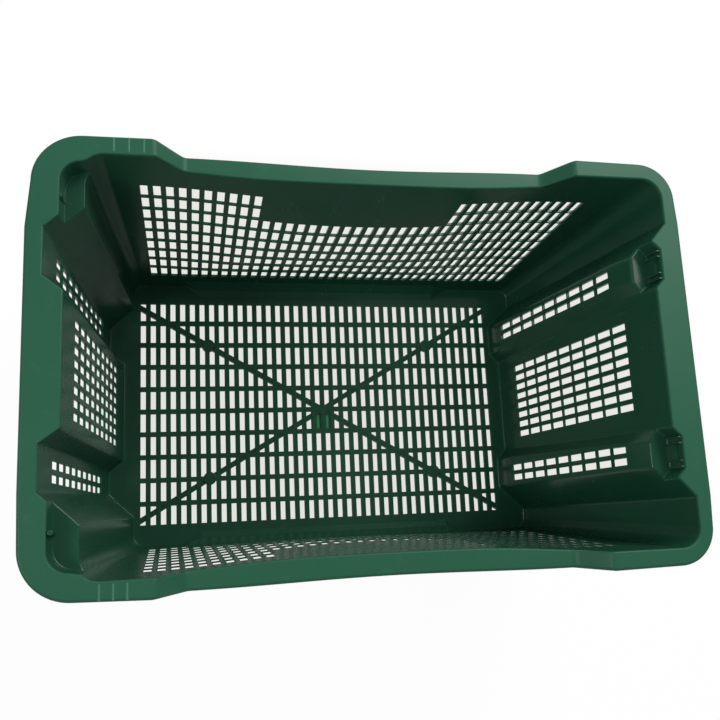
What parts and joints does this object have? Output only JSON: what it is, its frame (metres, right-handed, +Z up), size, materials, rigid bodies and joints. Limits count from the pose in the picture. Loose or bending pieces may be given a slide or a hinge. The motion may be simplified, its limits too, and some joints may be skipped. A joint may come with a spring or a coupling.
{
  "type": "grape harvest tub",
  "caption": "Vented plastic harvest tub with slotted walls and floor, corner shelves and pockets for stacking, and a rim that dips along its long sides.",
  "frame": {"origin": "middle of the base on the ground", "axes": "+Z up, X along the tub with the end of the four corner bays and shelves at -X, Y across it"},
  "size_m": [0.53, 0.34, 0.2954],
  "materials": {
    "body": "satin moulded polyethylene, dark green",
    "rim": "satin moulded polyethylene, dark green, rubbed a little paler",
    "thin_web": "thin moulded polyethylene that lets light through"
  },
  "bodies": {
    "root": {"floor_grille": "body", "floor_border_left": "body", "floor_border_right": "body", "floor_border_back": "body", "floor_border_front": "body", "foot_rail_left": "body", "foot_rail_right": "body", "foot_rail_back": "body", "foot_rail_front": "body", "diagonal_rib_a": "body", "diagonal_rib_b": "body", "gate_hub": "body", "gate_webs": "thin_web", "rib_bosses": "body", "side_cove_back": "body", "side_cove_front": "body", "long_wall_back": "body", "long_wall_front": "body", "left_end_panel": "body", "left_bay_step_back": "body", "left_bay_step_front": "body", "left_bay_back": "body", "left_bay_front": "body", "left_column_step_back": "body", "left_column_step_front": "body", "left_column_back": "body", "left_column_front": "body", "left_shelf_back": "body", "left_shelf_front": "body", "left_collar_back": "body", "left_collar_front": "body", "right_end_panel": "body", "right_strip_step_back": "body", "right_strip_step_front": "body", "right_strip_back": "body", "right_strip_front": "body", "right_corner_step_back": "body", "right_corner_step_front": "body", "right_corner_back": "body", "right_corner_front": "body", "right_seat_back": "body", "right_seat_front": "body", "right_collar_back": "body", "right_collar_front": "body", "right_pocket_ribs": "body", "left_rim": "rim", "right_rim": "rim", "left_corner_rim_back": "rim", "left_corner_rim_front": "rim", "right_corner_rim_back": "rim", "right_corner_rim_front": "rim", "saddle_rim_back": "rim", "saddle_rim_front": "rim", "slope_rim_left_back": "rim", "slope_rim_left_front": "rim", "slope_rim_right_back": "rim", "slope_rim_right_front": "rim", "rim_bars": "body", "end_gussets": "body"}
  },
  "joints": []
}
